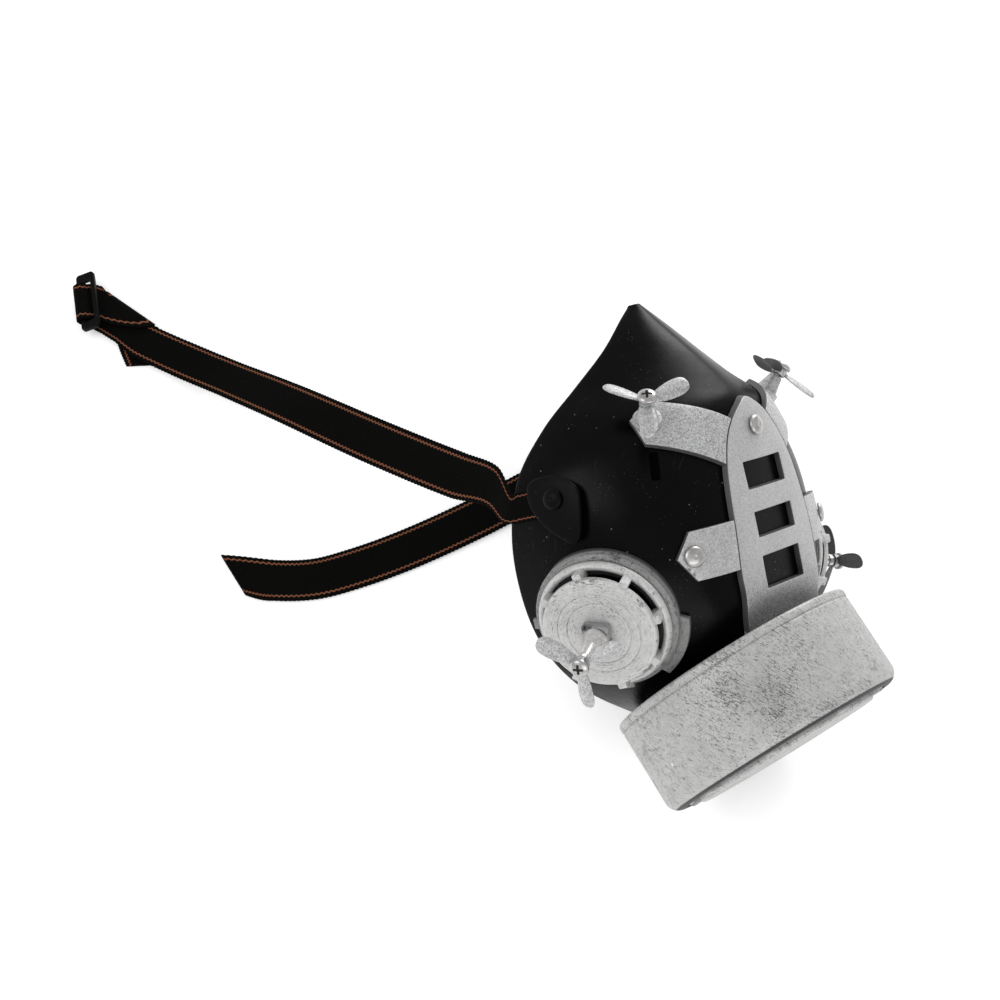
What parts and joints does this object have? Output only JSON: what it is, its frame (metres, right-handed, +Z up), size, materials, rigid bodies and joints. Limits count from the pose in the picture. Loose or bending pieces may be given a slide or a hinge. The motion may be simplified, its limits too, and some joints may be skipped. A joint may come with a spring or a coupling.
{
  "type": "costume gas mask",
  "caption": "Half face costume gas mask lying on its cheek, with a grille plate, cheek canisters, small propellers, a drum under the chin and elastic straps.",
  "frame": {"origin": "middle of the bottom of the bounds, on the floor that the mask lies on", "axes": "+X from the free ends of the straps to the drum, along the floor; +Y along the floor from the chin towards the nose, +Z up from the floor"},
  "size_m": [0.3278, 0.244, 0.1366],
  "materials": {
    "shell_plastic": "semi-gloss black, lightly dusted and scratched",
    "silver_paint": "silver paint with a fine grain",
    "worn_silver": "silver paint, dry-brushed with black and scratched",
    "bright_metal": "polished, slightly stained",
    "dark_metal": "dark grey, satin",
    "black_trim": "black, semi-gloss",
    "elastic": "black woven elastic with copper-coloured zigzag lines along both edges"
  },
  "bodies": {
    "mask": {"shell": "shell_plastic", "grille_plate": "silver_paint", "drum": "worn_silver", "drum_cap": "worn_silver", "rivet_plate": "bright_metal", "rivet_side_right": "bright_metal", "rivet_side_left": "bright_metal", "rivet_strap_right": "black_trim", "rivet_strap_left": "black_trim", "strap_right": "elastic", "strap_left": "elastic", "slider": "black_trim", "upper_arm_right": "silver_paint", "side_tab_right": "silver_paint", "strap_tab_right": "black_trim", "standoff_right": "silver_paint", "screw_upper_right": "bright_metal", "canister_base_right": "worn_silver", "canister_cap_right": "worn_silver", "canister_boss_right": "dark_metal", "canister_spike_right": "bright_metal", "canister_nut_right": "bright_metal", "screw_canister_right": "bright_metal", "upper_arm_left": "silver_paint", "side_tab_left": "silver_paint", "strap_tab_left": "black_trim", "standoff_left": "silver_paint", "screw_upper_left": "bright_metal", "canister_base_left": "worn_silver", "canister_cap_left": "worn_silver", "canister_boss_left": "dark_metal", "canister_spike_left": "bright_metal", "canister_nut_left": "bright_metal", "screw_canister_left": "bright_metal"},
    "propeller_upper_right": {"propeller_upper_right": "silver_paint"},
    "propeller_upper_left": {"propeller_upper_left": "silver_paint"},
    "propeller_canister_right": {"propeller_canister_right": "silver_paint"},
    "propeller_canister_left": {"propeller_canister_left": "silver_paint"}
  },
  "joints": [
    {"name": "propeller_upper_right_spin", "type": "hinge", "parent": "mask", "child": "propeller_upper_right", "pos_m": [0.06725, -0.00489, 0.13107], "axis": [-0.1035, 0.2652, 0.9586], "continuous": true},
    {"name": "propeller_upper_left_spin", "type": "hinge", "parent": "mask", "child": "propeller_upper_left", "pos_m": [0.12356, 0.03421, 0.08303], "axis": [0.5636, 0.7285, 0.3894], "continuous": true},
    {"name": "propeller_canister_right_spin", "type": "hinge", "parent": "mask", "child": "propeller_canister_right", "pos_m": [0.04527, -0.08911, 0.10654], "axis": [-0.3505, -0.7305, 0.5861], "continuous": true},
    {"name": "propeller_canister_left_spin", "type": "hinge", "parent": "mask", "child": "propeller_canister_left", "pos_m": [0.15545, -0.0126, 0.01253], "axis": [0.8782, 0.1227, -0.4623], "continuous": true}
  ]
}
